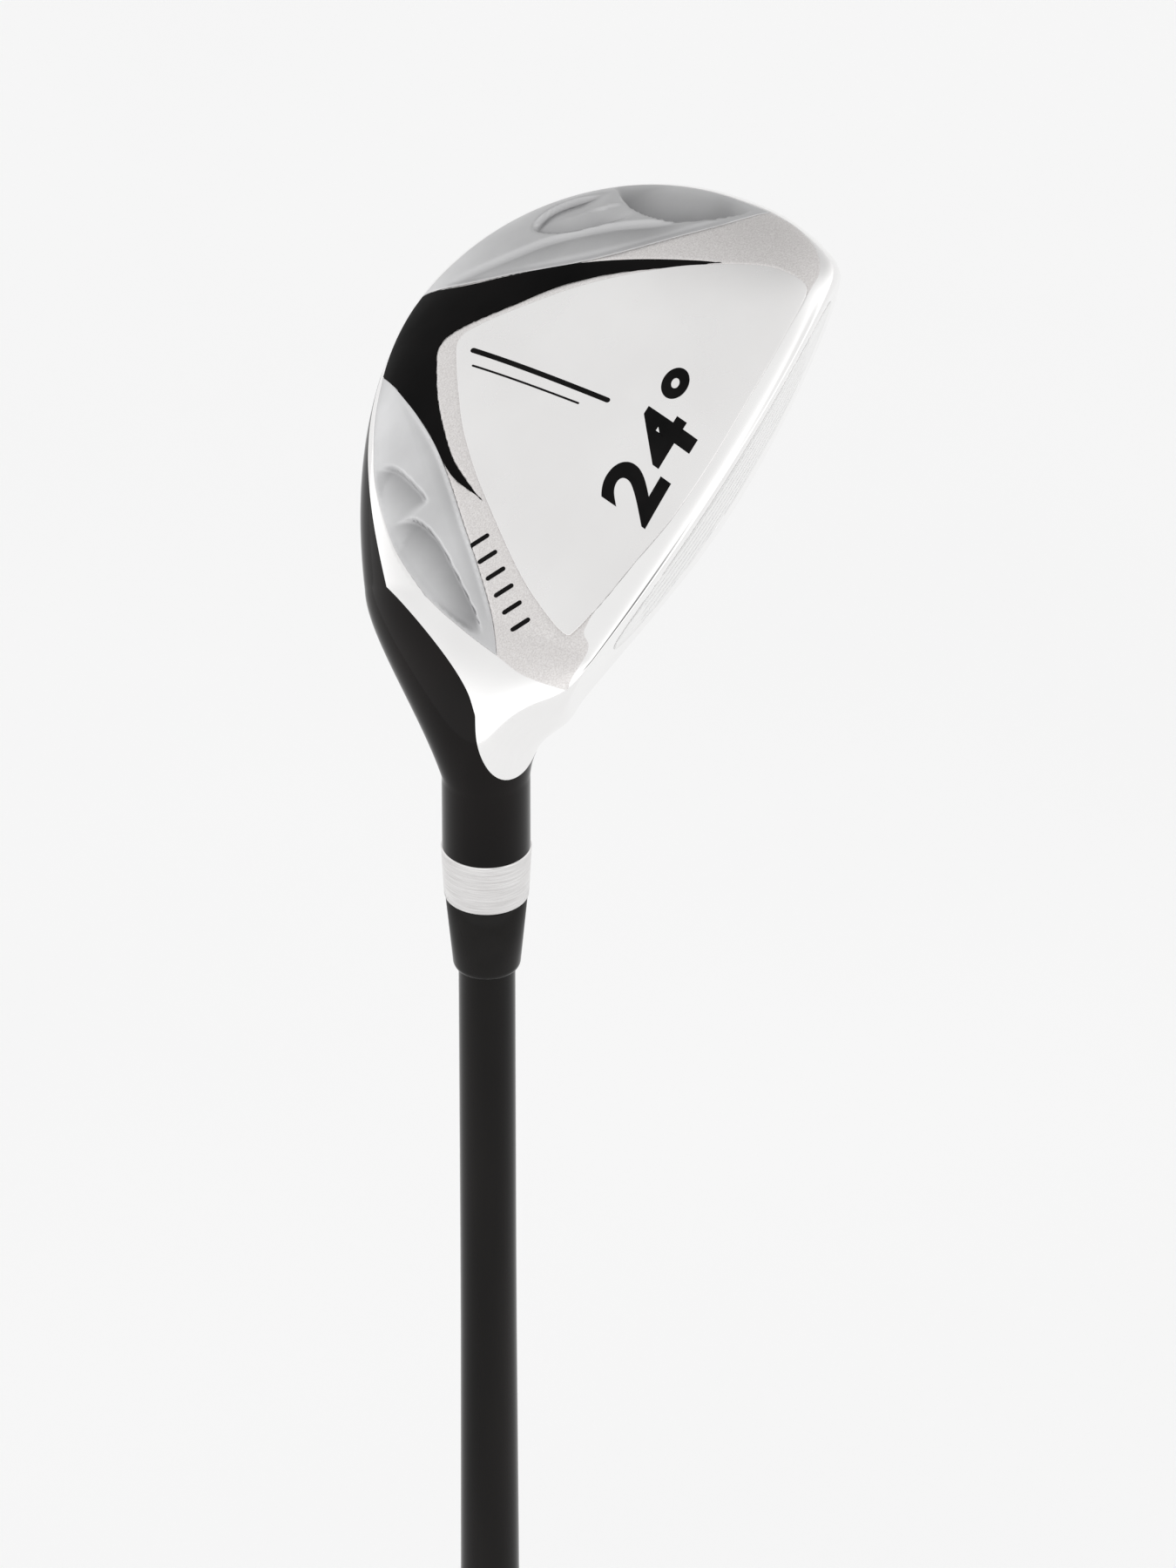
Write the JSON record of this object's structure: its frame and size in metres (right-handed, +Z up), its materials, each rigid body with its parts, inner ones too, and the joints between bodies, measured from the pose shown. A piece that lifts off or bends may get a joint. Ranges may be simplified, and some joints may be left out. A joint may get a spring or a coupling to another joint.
{
  "type": "hybrid golf club",
  "caption": "Right-handed hybrid golf club with a hollow steel head, sole inserts, tapered ferrule, graphite shaft and rubber grip.",
  "frame": {"origin": "centre of the grip's flat butt end", "axes": "+Z up the shaft's axis to the head, +X to the toe side, the face looks towards -Y"},
  "size_m": [0.1025, 0.0714, 1.0394],
  "materials": {
    "black_paint": "gloss black paint over cast steel",
    "chrome": "polished bright steel, satin where the inserts meet it",
    "face_steel": "fine brushed face with cut score lines",
    "grey_insert": "matt silver-grey with scooped relief",
    "black_inlay": "smooth black inlay",
    "polished_steel": "polished pale steel panel",
    "brushed_aluminium": "brushed round the axis",
    "black_plastic": "gloss black moulded collar",
    "graphite": "clear-coated black carbon composite",
    "brass": "turned pin",
    "epoxy": "set adhesive",
    "tape": "paper grip tape",
    "grip_rubber": "matt black moulded rubber with a cord-like tread"
  },
  "bodies": {
    "root": {"head_body": "black_paint", "sole_plate": "chrome", "face_plate": "face_steel", "toe_side_insert": "grey_insert", "heel_side_insert": "grey_insert", "rear_inlay": "black_inlay", "centre_badge": "polished_steel", "ferrule_ring": "brushed_aluminium", "ferrule_collar": "black_plastic", "hosel_epoxy": "epoxy", "tip_weight": "brass", "shaft": "graphite", "grip_tape": "tape", "grip": "grip_rubber", "grip_cap": "grip_rubber"}
  },
  "joints": []
}
